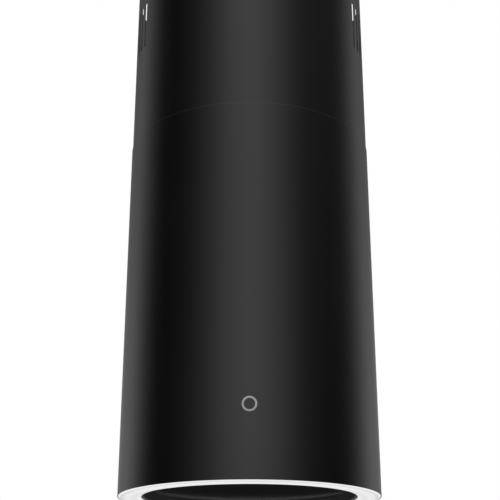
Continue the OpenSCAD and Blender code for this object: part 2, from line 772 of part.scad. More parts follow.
module motor_capacitor()
    color([0.85, 0.85, 0.85]) at_u(box_u + 1.6) translate([cable_x, cable_y, 0])
        cylinder(r = 8, h = 50, $fn = small_fn);

module led_driver()
    color([0.9, 0.9, 0.9]) at_u(box_u) union() {
        block([-42, -112, 0], [42, -box_y, 22]);
        for (x = [-50, 42]) block([x, -106, 0], [x + 8, -box_y - 6, 2]);
    }

module receiver_bracket()
    color([0.06, 0.06, 0.06]) at_u(ring_top_u + 0.1) union() {
        block([-12, 6.2 - body_r, 0], [12, 19 - body_r, 1.2]);
        block([-12, 6.2 - body_r, 0], [12, 7.4 - body_r, badge_u + 20 - ring_top_u]);
    }

module receiver_board()
    color([0.05, 0.3, 0.12]) at_u(badge_u) block([-22, 4.4 - body_r, -17], [22, 6 - body_r, 17]);

module cable_gland()
    color([0.08, 0.08, 0.08]) at_u(box_u + box_h) translate([cable_x, cable_y, 0]) difference() {
        union() {
            translate([0, 0, 0.1]) cylinder(r = 9, h = 4, $fn = 6);
            translate([0, 0, 4]) cylinder(r = 7, h = 8, $fn = small_fn);
            translate([0, 0, -6]) cylinder(r = 4.9, h = 7, $fn = small_fn);
        }
        translate([0, 0, -7]) cylinder(r = cable_r + 0.05, h = 30, $fn = small_fn);
    }

// Cable folded back on itself, with its connector hanging beside it
module mains_cable()
    color([0.08, 0.08, 0.08]) at_u(box_u + box_h) translate([cable_x, cable_y, 0]) union() {
        translate([0, 0, -12]) cylinder(r = cable_r, h = 87, $fn = small_fn);
        translate([-18, 0, 75]) rotate([90, 0, 0]) rotate_extrude(angle = 180)
            translate([18, 0]) circle(r = cable_r, $fn = small_fn);
        translate([-36, 0, 45]) cylinder(r = cable_r, h = 30, $fn = small_fn);
        block([-48, -8, 8], [-24, 8, 46]);
    }

ceiling_bracket();
upper_chimney();
chimney_screws();
upper_uprights();
bracket_screws();
lower_shell();
shell_nuts();
front_badge();
light_diffuser();
diffuser_clips();
led_board();
led_chips();
base_ring();
intake_plate();
intake_screws();
hinge_brackets();
hinge_pins();
filter_frame();
filter_mesh();
filter_supports();
magnet_strikers();
lower_uprights();
foot_bolts();
clamp_bolts();
blower_plate();
plate_bolts();
outlet_collar();
collar_screws();
flap_pins();
blower_housing_front();
blower_housing_rear();
housing_screws();
outlet_screws();
inlet_rings();
motor_bracket();
motor_bracket_screws();
motor_housing();
motor_end_cap();
stator_core();
stator_windings();
motor_bearings();
control_box();
control_box_cover();
control_board();
motor_capacitor();
led_driver();
receiver_board();
receiver_bracket();
mains_cable();
cable_gland();
rotor_core();
motor_shaft();
impeller();
flap_left();
flap_right();
suction_panel();
panel_magnets();
filter_latch();
charcoal_filter_front();
charcoal_filter_rear();
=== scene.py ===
"""Looks of a cylindrical island cooker hood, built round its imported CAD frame. Metres, +Z up, front -Y."""
import json
import math

import bmesh
import bpy
from mathutils import Matrix, Vector


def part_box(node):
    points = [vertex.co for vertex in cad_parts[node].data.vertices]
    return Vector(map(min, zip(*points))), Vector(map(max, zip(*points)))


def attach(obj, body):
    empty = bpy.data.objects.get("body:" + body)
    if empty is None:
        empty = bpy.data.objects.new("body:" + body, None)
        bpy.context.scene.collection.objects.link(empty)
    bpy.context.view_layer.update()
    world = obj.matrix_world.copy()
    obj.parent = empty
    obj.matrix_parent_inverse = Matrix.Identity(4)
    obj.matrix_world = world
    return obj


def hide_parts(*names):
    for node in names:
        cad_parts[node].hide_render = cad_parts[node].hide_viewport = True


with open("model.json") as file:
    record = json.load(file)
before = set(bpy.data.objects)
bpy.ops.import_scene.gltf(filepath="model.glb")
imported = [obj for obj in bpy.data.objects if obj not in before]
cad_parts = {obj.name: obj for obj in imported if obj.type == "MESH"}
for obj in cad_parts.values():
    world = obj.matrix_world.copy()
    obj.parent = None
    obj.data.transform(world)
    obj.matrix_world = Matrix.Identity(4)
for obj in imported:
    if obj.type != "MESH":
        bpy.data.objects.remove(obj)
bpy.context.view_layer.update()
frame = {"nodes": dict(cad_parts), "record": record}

MM = 0.001
TURN = 2 * math.pi
RECORD = frame["record"]
BODY_OF = {node: body for body, members in RECORD["behaviour"]["bodies"].items() for node in members}
SLOTS = {part["node"]: part["material_slot"] for part in RECORD["subparts"]}

# Main places, all read from the frame
SHELL_LOW, SHELL_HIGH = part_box("lower_shell")
TUBE_LOW, TUBE_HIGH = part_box("upper_chimney")
SHELL_R = (SHELL_HIGH.x - SHELL_LOW.x) / 2
TUBE_R = (TUBE_HIGH.x - TUBE_LOW.x) / 2
RIM_Z = SHELL_LOW.z

# Sizes that the boxes don't tell
SHEET = 0.8 * MM
SHEET_EDGE = 0.36 * MM
SEGMENTS = 288
VENTS_PER_SIDE = 12
VENT_PITCH = math.radians(4.95)
VENT_W, VENT_H, VENT_DROP = 5 * MM, 75 * MM, 49 * MM
SCREW_HOLE_R, SCREW_DROP = 2 * MM, 12 * MM
RING_WIDTH, RING_CLIP_H = 30.4 * MM, 7 * MM

# The set round the object
FLOOR_Z, FLOOR_HALF = -6, 300
POOL_FULL_R, POOL_END_R = 15, 25
DUCT_LIGHT_Z, DUCT_LIGHT_SIZE, DUCT_LIGHT_POWER = 1.2, 1.2, 3.5
CAMERA_BACK, CAMERA_DROP = 8.08 * SHELL_R, 1.009 * SHELL_R
CAMERA_TILT, CAMERA_YAW = math.radians(20.545), math.radians(-0.03)
LENS, SENSOR = 74.9, 36


# --- node helpers ----------------------------------------------------------------------

# Places of the colour sockets of a mix node
MIX_A, MIX_B, MIX_OUT = 6, 7, 2


def new_material(name):
    """A material with nodes, its tree and its principled shader."""
    material = bpy.data.materials.new(name)
    material.use_nodes = True
    return material, material.node_tree, material.node_tree.nodes["Principled BSDF"]


def feed(tree, node, inputs):
    """Sets a node's inputs, each to a value or a link."""
    for key, value in inputs.items():
        if isinstance(value, bpy.types.NodeSocket):
            tree.links.new(value, node.inputs[key])
        else:
            node.inputs[key].default_value = value


def add(tree, kind, inputs=None, **settings):
    """A node with its settings and its inputs."""
    node = tree.nodes.new(kind)
    for key, value in settings.items():
        setattr(node, key, value)
    feed(tree, node, inputs or {})
    return node


def calc(tree, operation, *values):
    """The result of a math node."""
    return add(tree, "ShaderNodeMath", dict(enumerate(values)), operation=operation).outputs[0]


def product(tree, *values):
    """All values multiplied."""
    out = values[0]
    for value in values[1:]:
        out = calc(tree, "MULTIPLY", out, value)
    return out


def total(tree, *values):
    """All values added."""
    out = values[0]
    for value in values[1:]:
        out = calc(tree, "ADD", out, value)
    return out


def place(tree, stretch=(1, 1, 1)):
    """Object coordinates, stretched along the axes."""
    coords = add(tree, "ShaderNodeTexCoord").outputs["Object"]
    return add(tree, "ShaderNodeMapping", {"Vector": coords, "Scale": stretch}).outputs[0]


def split(tree, vector):
    """The three parts of a vector."""
    return tuple(add(tree, "ShaderNodeSeparateXYZ", {0: vector}).outputs)


def length(tree, vector):
    """How long a vector is."""
    return add(tree, "ShaderNodeVectorMath", {0: vector}, operation="LENGTH").outputs["Value"]


def camera_ray(tree):
    """1 for what the camera sees directly, 0 for reflections and light."""
    return add(tree, "ShaderNodeLightPath").outputs["Is Camera Ray"]


def noise(tree, where, size, detail=3.0, rough=0.55):
    """Noise whose features are about size metres across, from 0 to 1."""
    inputs = {"Vector": where, "Scale": 1 / size, "Detail": detail, "Roughness": rough}
    return add(tree, "ShaderNodeTexNoise", inputs).outputs["Fac"]


def spread(tree, value, low, high, start=0.3, end=0.7):
    """Maps a value from start..end to low..high. Noise is mostly 0.3 to 0.7, a sum of two 0.7 to 1.3."""
    inputs = {"Value": value, "From Min": start, "From Max": end, "To Min": low, "To Max": high}
    return add(tree, "ShaderNodeMapRange", inputs).outputs["Result"]


def scaled(colour, factor):
    """A colour made darker or lighter."""
    return tuple(min(1.0, channel * factor) for channel in colour)


def shade(tree, value, dark, light):
    """A colour between dark and light, each of them three channels or a link."""
    ends = [(*colour, 1) if isinstance(colour, tuple) else colour for colour in (dark, light)]
    inputs = {"Factor": value, MIX_A: ends[0], MIX_B: ends[1]}
    return add(tree, "ShaderNodeMix", inputs, data_type="RGBA").outputs[MIX_OUT]


def ramp(tree, value, stops):
    """A grey level that follows (position, level) stops."""
    node = add(tree, "ShaderNodeValToRGB", {"Fac": value})
    elements = node.color_ramp.elements
    while len(elements) < len(stops):
        elements.new(0.5)
    for element, (position, level) in zip(elements, stops):
        element.position = position
        element.color = (level, level, level, 1)
    return node.outputs["Color"]


def bump(tree, height, depth):
    """A normal bent by a relief of a depth in metres."""
    return add(tree, "ShaderNodeBump", {"Height": height, "Distance": depth, "Strength": 1.0}).outputs[0]


# --- materials -------------------------------------------------------------------------

BLACK = (0.0028, 0.0028, 0.0029)
# Lighter tone of a painted highlight along the lower shell's top edge
PAINTED_EDGE_HIGHLIGHT = (0.028, 0.028, 0.029)
WHITE = (1, 1, 1, 1)


def surface(name, colour, rough, metal=0.0, vary=0.12, vary_size=30 * MM, grain=0.6 * MM, depth=0.02 * MM):
    """A plain moulded, coated or rolled surface: colour clouds, uneven roughness and a fine grain."""
    material, tree, bsdf = new_material(name)
    where = place(tree)
    clouds = noise(tree, where, vary_size, 4)
    fine = noise(tree, where, grain, 2)
    dark, light = scaled(colour, 1 - vary), scaled(colour, 1 + vary)
    feed(tree, bsdf, {
        "Base Color": shade(tree, spread(tree, clouds, 0, 1), dark, light),
        "Roughness": spread(tree, total(tree, clouds, fine), rough - 0.06, rough + 0.06, 0.7, 1.3),
        "Metallic": metal,
        "Normal": bump(tree, fine, depth),
    })
    return material


def galvanised(name):
    """Hot-dip zinc: spangles a few millimetres wide, each with its own tone."""
    material, tree, bsdf = new_material(name)
    where = place(tree)
    wobble = add(tree, "ShaderNodeTexNoise", {"Vector": where, "Scale": 90.0}).outputs["Color"]
    small = add(tree, "ShaderNodeVectorMath", {0: wobble, "Scale": 0.006}, operation="SCALE").outputs[0]
    warped = add(tree, "ShaderNodeVectorMath", {0: where, 1: small}, operation="ADD").outputs[0]
    cells = add(tree, "ShaderNodeTexVoronoi", {"Vector": warped, "Scale": 110.0})
    tone = add(tree, "ShaderNodeSeparateColor", {"Color": cells.outputs["Color"]}).outputs[0]
    feed(tree, bsdf, {
        "Base Color": shade(tree, tone, (0.42, 0.44, 0.46), (0.66, 0.68, 0.70)),
        "Roughness": spread(tree, tone, 0.32, 0.55, 0, 1),
        "Metallic": 0.9,
        "Normal": bump(tree, cells.outputs["Distance"], 0.02 * MM),
    })
    return material


def brushed(name, colour, rough, stretch):
    """Brushed metal: noise drawn out along one axis."""
    material, tree, bsdf = new_material(name)
    lines = noise(tree, place(tree, stretch), 0.4 * MM, 4, 0.7)
    clouds = noise(tree, place(tree), 20 * MM)
    feed(tree, bsdf, {
        "Base Color": shade(tree, spread(tree, lines, 0, 1), scaled(colour, 0.8), scaled(colour, 1.12)),
        "Roughness": spread(tree, total(tree, lines, clouds), rough - 0.08, rough + 0.1, 0.7, 1.3),
        "Metallic": 1.0,
        "Normal": bump(tree, lines, 0.01 * MM),
    })
    return material


def powder_coat(name, colour, rough, end_z=None, specular=0.5):
    """Satin powder coat: a very fine orange peel, hardly any colour change, and a painted edge highlight just
    below end_z.
    """
    material, tree, bsdf = new_material(name)
    where = place(tree)
    clouds = noise(tree, where, 120 * MM, 3)
    peel = noise(tree, where, 1.6 * MM, 2)
    pores = noise(tree, where, 0.35 * MM, 1)
    tint = shade(tree, spread(tree, clouds, 0, 1), scaled(colour, 0.93), scaled(colour, 1.07))
    # A lighter band just below end_z is a painted highlight of the sheet's top edge
    if end_z is not None:
        height = split(tree, where)[2]
        tint = shade(tree, spread(tree, height, 0, 1, end_z - 1.0 * MM, end_z - 0.5 * MM), tint, PAINTED_EDGE_HIGHLIGHT)
    feed(tree, bsdf, {
        "Base Color": tint,
        "Roughness": spread(tree, clouds, rough - 0.012, rough + 0.012),
        "Specular IOR Level": specular,
        "Normal": bump(tree, total(tree, peel, pores), 0.0045 * MM),
    })
    return material


def opal(name):
    """Opal acrylic over a ring of LEDs: bright along its crown and edges, dim up the clip walls.

    It glows mostly for the camera, since the real ring hardly lights the panel inside it.
    """
    material, tree, bsdf = new_material(name)
    where = place(tree)
    x, y, z = split(tree, where)
    radius = length(tree, add(tree, "ShaderNodeCombineXYZ", {"X": x, "Y": y}).outputs[0])
    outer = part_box("light_diffuser")[1].x
    across = spread(tree, radius, 0, 1, outer - RING_WIDTH, outer)
    crown = ramp(tree, across, [(0, 0.62), (0.08, 0.78), (0.3, 0.69), (0.55, 0.76),
                                (0.75, 0.72), (0.86, 0.55), (0.95, 0.78), (1, 0.72)])
    up = spread(tree, z, 0, 1, RIM_Z, RIM_Z + RING_CLIP_H)
    fade = ramp(tree, up, [(0, 1), (0.03, 1), (0.1, 0.08), (1, 0.02)])
    haze = spread(tree, noise(tree, where, 20 * MM, 3), 0.97, 1.03)
    seen = spread(tree, camera_ray(tree), 0.06, 1, 0, 1)
    feed(tree, bsdf, {
        "Base Color": shade(tree, haze, (0.10, 0.10, 0.10), (0.14, 0.14, 0.14)),
        "Roughness": spread(tree, noise(tree, where, 4 * MM), 0.2, 0.28),
        "Emission Color": WHITE,
        "Emission Strength": product(tree, crown, fade, haze, seen),
        "Normal": bump(tree, noise(tree, where, 3 * MM, 1), 0.004 * MM),
    })
    return material


def windings(name):
    """Enamelled copper wire wound round the motor's axis."""
    material, tree, bsdf = new_material(name)
    where = place(tree)
    inputs = {"Vector": where, "Scale": 500.0, "Distortion": 3.0}
    wires = add(tree, "ShaderNodeTexWave", inputs, bands_direction="Y").outputs["Fac"]
    feed(tree, bsdf, {
        "Base Color": shade(tree, wires, (0.30, 0.11, 0.04), (0.75, 0.36, 0.16)),
        "Roughness": spread(tree, noise(tree, where, 2 * MM), 0.25, 0.4),
        "Metallic": 0.85,
        "Normal": bump(tree, wires, 0.15 * MM),
    })
    return material


def laminations(name):
    """Stacked sheet steel, seen edge on."""
    material, tree, bsdf = new_material(name)
    where = place(tree)
    inputs = {"Vector": where, "Scale": 320.0}
    sheets = add(tree, "ShaderNodeTexWave", inputs, bands_direction="Y").outputs["Fac"]
    clouds = noise(tree, where, 5 * MM)
    feed(tree, bsdf, {
        "Base Color": shade(tree, spread(tree, clouds, 0, 1), (0.16, 0.16, 0.17), (0.30, 0.29, 0.28)),
        "Roughness": spread(tree, clouds, 0.4, 0.6),
        "Metallic": 0.8,
        "Normal": bump(tree, sheets, 0.08 * MM),
    })
    return material


def circuit_board(name):
    """Green solder mask with paler tracks under it."""
    material, tree, bsdf = new_material(name)
    where = place(tree)
    bricks = {"Vector": place(tree, (1, 0, 1)), "Scale": 120.0, "Mortar Size": 0.06}
    tracks = add(tree, "ShaderNodeTexBrick", bricks).outputs["Fac"]
    tone = product(tree, tracks, noise(tree, where, 6 * MM))
    feed(tree, bsdf, {
        "Base Color": shade(tree, tone, (0.012, 0.10, 0.035), (0.10, 0.36, 0.16)),
        "Roughness": spread(tree, noise(tree, where, 3 * MM), 0.25, 0.4),
        "Normal": bump(tree, tracks, 0.03 * MM),
    })
    return material


MATERIALS = {
    "black_powder_coat": powder_coat("satin_powder_coat", BLACK, 0.27),
    "black_inner_coat": surface("inner_powder_coat", (0.06, 0.06, 0.061), 0.55, grain=0.8 * MM),
    "black_screw": surface("black_zinc", (0.012, 0.012, 0.013), 0.38, metal=0.6, vary_size=2 * MM),
    "galvanised_steel": galvanised("galvanised_steel"),
    "zinc_fastener": surface("bright_zinc", (0.62, 0.63, 0.64), 0.26, metal=1.0, vary=0.1, vary_size=3 * MM),
    "stainless": brushed("stainless_steel", (0.56, 0.56, 0.57), 0.28, (1, 1, 0.05)),
    "badge_metal": brushed("badge_aluminium", (0.42, 0.42, 0.42), 0.42, (0.05, 1, 1)),
    "white_acrylic": opal("opal_acrylic"),
    "white_board": surface("white_solder_mask", (0.82, 0.82, 0.82), 0.4, vary=0.04),
    "led_emitter": surface("led_phosphor", (0.85, 0.78, 0.42), 0.45, vary=0.08, vary_size=1.5 * MM),
    "filter_aluminium": brushed("filter_aluminium", (0.66, 0.67, 0.68), 0.32, (1, 1, 1)),
    "black_nylon": surface("black_nylon", (0.016, 0.016, 0.017), 0.48, grain=0.9 * MM, depth=0.04 * MM),
    "fan_plastic": surface("glass_filled_plastic", (0.03, 0.03, 0.032), 0.5, grain=1.1 * MM, depth=0.05 * MM),
    "motor_shell": surface("die_cast_aluminium", (0.5, 0.51, 0.52), 0.42, metal=0.95, grain=0.9 * MM,
                           depth=0.05 * MM),
    "lamination": laminations("laminated_steel"),
    "copper_winding": windings("enamelled_copper"),
    "circuit_board": circuit_board("green_board"),
    "capacitor_can": brushed("capacitor_can", (0.7, 0.7, 0.71), 0.3, (1, 1, 0.05)),
    "driver_case": surface("white_moulding", (0.72, 0.72, 0.71), 0.45, vary=0.05, grain=0.8 * MM),
    "cable_rubber": surface("cable_sheath", (0.012, 0.012, 0.012), 0.55, grain=0.7 * MM, depth=0.03 * MM),
    "magnet_nickel": surface("nickel_plate", (0.55, 0.54, 0.52), 0.2, metal=1.0, vary=0.08, vary_size=2 * MM),
    "charcoal_case": surface("black_cassette", (0.014, 0.014, 0.014), 0.5, grain=1.0 * MM, depth=0.05 * MM),
}


# --- mesh helpers ----------------------------------------------------------------------


def to_mesh(name, bm, merge):
    """A mesh with outward normals. Merging closes it where its rows of faces meet."""
    if merge:
        bmesh.ops.remove_doubles(bm, verts=bm.verts, dist=1e-7)
        bmesh.ops.delete(bm, geom=[edge for edge in bm.edges if edge.is_wire], context="EDGES")
    bmesh.ops.recalc_face_normals(bm, faces=bm.faces)
    mesh = bpy.data.meshes.new(name)
    bm.to_mesh(mesh)
    bm.free()
    return mesh


def make(name, bm, node, sharp=38.0, merge=True):
    """Adds a piece that stands for a CAD node and takes over its body and material slot."""
    mesh = to_mesh(name, bm, merge)
    piece = bpy.data.objects.new(name, mesh)
    bpy.context.scene.collection.objects.link(piece)
    mesh.materials.append(MATERIALS[SLOTS[node]])
    mesh.shade_smooth()
    mesh.set_sharp_from_angle(angle=math.radians(sharp))
    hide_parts(node)
    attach(piece, BODY_OF[node])
    return piece


def even_shading(piece):
    """Lets the large faces set the normals, so that rounded edges don't bend the light on them."""
    modifier = piece.modifiers.new("even_shading", "WEIGHTED_NORMAL")
    modifier.mode = "FACE_AREA"
    modifier.weight = 100
    modifier.keep_sharp = True


def join(parts):
    """One bmesh from several."""
    whole = bmesh.new()
    for part in parts:
        mesh = bpy.data.meshes.new("part")
        part.to_mesh(mesh)
        part.free()
        whole.from_mesh(mesh)
        bpy.data.meshes.remove(mesh)
    return whole


def put(bm, matrix):
    """Moves a bmesh by a matrix."""
    bmesh.ops.transform(bm, matrix=matrix, verts=bm.verts)
    return bm


def along_x(x, y, z):
    """Turns local Z to the right, and moves to a place."""
    return Matrix.Translation((x, y, z)) @ Matrix.Rotation(TURN / 4, 4, "Y")


def along_y(x, y, z):
    """Turns local Z to the front, and moves to a place."""
    return Matrix.Translation((x, y, z)) @ Matrix.Rotation(TURN / 4, 4, "X")


def turned(angle):
    """A turn about Z."""
    return Matrix.Rotation(angle, 4, "Z")


def rounded(points, radius, steps=5):
    """A closed 2D outline with each corner turned into an arc. A radius may be given for each corner."""
    radii = radius if isinstance(radius, list) else [radius] * len(points)
    out = []
    for i, here in enumerate(points):
        before, after = Vector(points[i - 1]), Vector(points[(i + 1) % len(points)])
        here, r = Vector(here), radii[i]
        a, b = (before - here).normalized(), (after - here).normalized()
        half = a.angle(b) / 2
        if r <= 0 or half > 0.499 * math.pi:
            out.append(tuple(here))
            continue
        r = min(r, 0.45 * math.tan(half) * min((before - here).length, (after - here).length))
        middle = here + (a + b).normalized() * (r / math.sin(half))
        start, end = here + a * (r / math.tan(half)) - middle, here + b * (r / math.tan(half)) - middle
        arc = start.angle_signed(end)
        for k in range(steps + 1):
            turn = -arc * k / steps
            c, s = math.cos(turn), math.sin(turn)
            out.append((middle.x + c * start.x - s * start.y, middle.y + s * start.x + c * start.y))
    return out


def lathe(outline, segments=SEGMENTS, start=0.0, reach=TURN):
    """Turns a closed (radius, height) outline round Z, all the way or through a part of a turn."""
    bm = bmesh.new()
    whole = reach == TURN
    rows = []
    for i in range(segments if whole else segments + 1):
        angle = start + reach * i / segments
        rows.append([bm.verts.new((r * math.cos(angle), r * math.sin(angle), z)) for r, z in outline])
    count = len(outline)
    for i in range(segments):
        here, there = rows[i], rows[(i + 1) % len(rows)]
        for j in range(count):
            k = (j + 1) % count
            bm.faces.new((here[j], there[j], there[k], here[k]))
    if not whole:
        bm.faces.new(rows[0])
        bm.faces.new(list(reversed(rows[-1])))
    return bm


def box_part(low, high, radius, steps=2):
    """A block with rounded edges."""
    bm = bmesh.new()
    size = [h - l for l, h in zip(low, high)]
    middle = [(l + h) / 2 for l, h in zip(low, high)]
    bmesh.ops.create_cube(bm, size=1)
    put(bm, Matrix.Translation(middle) @ Matrix.Diagonal((*size, 1)))
    bmesh.ops.bevel(bm, geom=bm.edges[:], offset=min(radius, min(size) * 0.45), segments=steps,
                    profile=0.5, affect="EDGES")
    return bm


def rod(radius, low, high, segments=32, edge=0.2 * MM, bore=0.0):
    """A round bar along Z with softened ends, or a tube if it has a bore."""
    outline = rounded([(bore, low), (radius, low), (radius, high), (bore, high)],
                      edge if bore else [0, edge, edge, 0], 3)
    return lathe(outline, segments)


def extruded(outline, low, high):
    """A straight prism of an XY outline."""
    bm = bmesh.new()
    bottom = [bm.verts.new((x, y, low)) for x, y in outline]
    top = [bm.verts.new((x, y, high)) for x, y in outline]
    for i in range(len(outline)):
        k = (i + 1) % len(outline)
        bm.faces.new((bottom[i], bottom[k], top[k], top[i]))
    bm.faces.new(list(reversed(bottom)))
    bm.faces.new(top)
    return bm


def cord(path, radius):
    """A round cord with flat ends along a path in a plane of constant Y."""
    bm = bmesh.new()
    rings, segments = [], 20
    normal = Vector((0, 1, 0))
    for i, point in enumerate(path):
        before, after = path[max(i - 1, 0)], path[min(i + 1, len(path) - 1)]
        tangent = (Vector(after) - Vector(before)).normalized()
        side = normal.cross(tangent).normalized()
        up = tangent.cross(side)
        spokes = [math.cos(TURN * k / segments) * side + math.sin(TURN * k / segments) * up
                  for k in range(segments)]
        rings.append([bm.verts.new(Vector(point) + radius * spoke) for spoke in spokes])
    for a, b in zip(rings, rings[1:]):
        for k in range(segments):
            n = (k + 1) % segments
            bm.faces.new((a[k], a[n], b[n], b[k]))
    bm.faces.new(list(reversed(rings[0])))
    bm.faces.new(rings[-1])
    return bm


# --- the two tubes ---------------------------------------------------------------------

BACK = TURN / 4
WELD_H, WELD_W, WELD_REACH = 0.09 * MM, 1.2 * MM, 4 * MM

# Angles in radians: the room kept free round a cell, and how near two grid lines count as one
CELL_MARGIN, SAME_LINE = 0.004, 1e-6


def tube_angles():
    """Even steps round a tube from the front, with a few close ones across the weld at the back."""
    angles = [TURN * (i / SEGMENTS - 0.25) for i in range(SEGMENTS)]
    near = [BACK + x / SHELL_R for x in (-2.6 * MM, -1.3 * MM, -0.6 * MM, 0.6 * MM, 1.3 * MM, 2.6 * MM)]
    return sorted(angles + near)


def weld(angle):
    """Height of the ground weld bead that closes a rolled tube."""
    off = (angle - BACK) * SHELL_R
    return WELD_H * math.exp(-((off / WELD_W) ** 2)) if abs(off) < WELD_REACH else 0.0


class Sheet:
    """A tube wall with rounded ends and openings. Its corners are (angle, height, radius)."""

    def __init__(self, r_out, z_low, z_high, cells):
        self.r_out, self.r_in = r_out, r_out - SHEET
        self.z_low, self.z_high, self.cells = z_low, z_high, cells
        self.bm = bmesh.new()
        self.cache = {}

    def vert(self, angle, z, r):
        """The vertex at a place, made once. The weld bead stands proud of the outer wall."""
        key = (round(angle % TURN, 7), round(z, 7), round(r, 7))
        if key not in self.cache:
            out = r + (weld(angle % TURN) if r > self.r_in + SHEET_EDGE else 0.0)
            self.cache[key] = self.bm.verts.new((out * math.cos(angle), out * math.sin(angle), z))
        return self.cache[key]

    def face(self, *corners):
        """A face of three or more different corners, made once."""
        verts = [self.vert(*corner) for corner in corners]
        if len(set(verts)) > 2 and self.bm.faces.get(verts) is None:
            self.bm.faces.new(list(dict.fromkeys(verts)))

    def both(self, *corners):
        """The same patch on the outer and the inner wall."""
        self.face(*[(a, z, self.r_out) for a, z in corners])
        self.face(*[(a, z, self.r_in) for a, z in reversed(corners)])

    def profile(self):
        """Steps through the sheet's thickness round an edge: (how far the edge is set back, radius)."""
        lean = SHEET_EDGE * (1 - math.sqrt(0.5))
        return [(SHEET_EDGE, self.r_out), (lean, self.r_out - lean), (0, self.r_out - SHEET_EDGE),
                (0, self.r_in + SHEET_EDGE), (lean, self.r_in + lean), (SHEET_EDGE, self.r_in)]

    def grid(self):
        """The angles and heights of the grid between the cells."""
        columns = [cell.columns() for cell in self.cells]
        spans = [(column[0] - CELL_MARGIN, column[-1] + CELL_MARGIN) for column in columns]
        plain = [a for a in tube_angles() if not any(low < a < high for low, high in spans)]
        angles = []
        for a in sorted(set(plain + [a for column in columns for a in column])):
            if not angles or a - angles[-1] > SAME_LINE:
                angles.append(a)
        heights = {self.z_low + SHEET_EDGE, self.z_high - SHEET_EDGE}
        heights.update(z for cell in self.cells for z in cell.rows())
        return angles, sorted(heights)

    def wall(self, a, b, heights):
        """Both walls between two angles, except where a cell is."""
        for low, high in zip(heights, heights[1:]):
            if not any(cell.covers((a + b) / 2, (low + high) / 2) for cell in self.cells):
                self.both((a, low), (b, low), (b, high), (a, high))

    def ends(self, a, b):
        """The rounded lower and upper end between two angles."""
        steps = self.profile()
        low, high = self.z_low, self.z_high
        for (s0, r0), (s1, r1) in zip(steps, steps[1:]):
            self.face((a, low + s0, r0), (a, low + s1, r1), (b, low + s1, r1), (b, low + s0, r0))
            self.face((a, high - s0, r0), (b, high - s0, r0), (b, high - s1, r1), (a, high - s1, r1))

    def patch(self, cell):
        """The patch round an opening, and the opening's rounded edge."""
        outside, rim = cell.frame_points(), cell.opening(SHEET_EDGE)
        nexts = list(range(1, len(rim))) + [0]
        for i, k in enumerate(nexts):
            self.both(outside[i], outside[k], rim[k], rim[i])
        rings = [[(a, z, r) for a, z in cell.opening(back)] for back, r in self.profile()]
        for ring, deeper in zip(rings, rings[1:]):
            for i, k in enumerate(nexts):
                self.face(ring[i], ring[k], deeper[k], deeper[i])

    def build(self):
        """The whole sheet as a bmesh."""
        angles, heights = self.grid()
        for a, b in zip(angles, angles[1:] + [angles[0] + TURN]):
            self.wall(a, b, heights)
            self.ends(a, b)
        for cell in self.cells:
            self.patch(cell)
        return self.bm


class Cell:
    """A patch of sheet with one round-ended upright opening in its middle."""

    def __init__(self, angle, z, half_w, half_h, reach_w, reach_h):
        self.angle, self.z = angle, z
        self.half_w, self.straight = half_w, half_h - half_w
        self.reach_w, self.cap = reach_w, reach_h - self.straight
        corner = math.atan2(self.cap, reach_w)
        side = [corner * i / 3 for i in range(3)]
        top = [corner + (math.pi - 2 * corner) * i / 8 for i in range(9)]
        self.turns = side + top + [math.pi - s for s in reversed(side)]
        self.sides = [-0.5, 0, 0.5] if self.straight > 0 else []

    def points(self, cap_point):
        """Goes round anticlockwise from the right; cap_point(turn) is a point of the upper end."""
        cap = [cap_point(turn) for turn in self.turns]
        left = cap[-1][0]
        out = [(x, z + self.straight) for x, z in cap]
        out += [(left, -s * self.straight) for s in self.sides]
        out += [(-x, -z - self.straight) for x, z in cap]
        out += [(-left, s * self.straight) for s in self.sides]
        if self.straight == 0:
            out = out[:len(cap)] + out[len(cap) + 1:-1]
        return [(self.angle + x / TUBE_R, self.z + z) for x, z in out]

    def on_frame(self, turn):
        """The point of the patch's outside in a direction from the middle of the upper end."""
        c, s = math.cos(turn), math.sin(turn)
        reach = min(self.reach_w / abs(c) if abs(c) > 1e-9 else 1e9, self.cap / s if s > 1e-9 else 1e9)
        return reach * c, reach * s

    def frame_points(self):
        """The outside of the patch."""
        return self.points(self.on_frame)

    def opening(self, grow):
        """The edge of the opening, or a line that runs round it at a distance."""
        r = self.half_w + grow
        return self.points(lambda turn: (r * math.cos(turn), r * math.sin(turn)))

    def columns(self):
        """Angles of the grid lines that meet the patch."""
        xs = sorted({round(self.on_frame(turn)[0], 9) for turn in self.turns})
        return [self.angle + x / TUBE_R for x in xs]

    def rows(self):
        """Heights of the grid lines that meet the patch."""
        zs = {round(self.on_frame(turn)[1] + self.straight, 9) for turn in self.turns}
        zs |= {-z for z in zs} | {round(s * self.straight, 9) for s in self.sides}
        return [self.z + z for z in zs]

    def covers(self, angle, z):
        """Whether a point of the sheet is in the patch."""
        off = (angle - self.angle + math.pi) % TURN - math.pi
        return abs(off) * TUBE_R < self.reach_w and abs(z - self.z) < self.straight + self.cap


def vent_cells():
    """The slots on each side, and the four screw holes near the ceiling."""
    middle, reach_w, reach_h = (VENTS_PER_SIDE - 1) / 2, VENT_PITCH * TUBE_R / 2, VENT_H / 2 + 7.5 * MM
    vents = [Cell(side + (i - middle) * VENT_PITCH, -VENT_DROP - VENT_H / 2, VENT_W / 2, VENT_H / 2,
                  reach_w, reach_h)
             for side in (0, math.pi) for i in range(VENTS_PER_SIDE)]
    patch = 5 * MM
    holes = [Cell(TURN * (i - 0.5) / 4, -SCREW_DROP, SCREW_HOLE_R, SCREW_HOLE_R, patch, patch)
             for i in range(4)]
    return vents + holes


def wall_normals(piece, outer):
    """Exact normals on the outer and inner wall, so that a long smooth sheet reflects without facets."""
    near = 0.004 * MM
    normals = []
    for v in piece.data.vertices:
        r = math.hypot(v.co.x, v.co.y)
        outwards = Vector((v.co.x, v.co.y, 0)) / r if r > 0 else Vector()
        if abs(r - outer) < near:
            normals.append(outwards)
        elif abs(r - (outer - SHEET)) < near:
            normals.append(-outwards)
        else:
            normals.append(Vector())
    piece.data.normals_split_custom_set_from_vertices(normals)


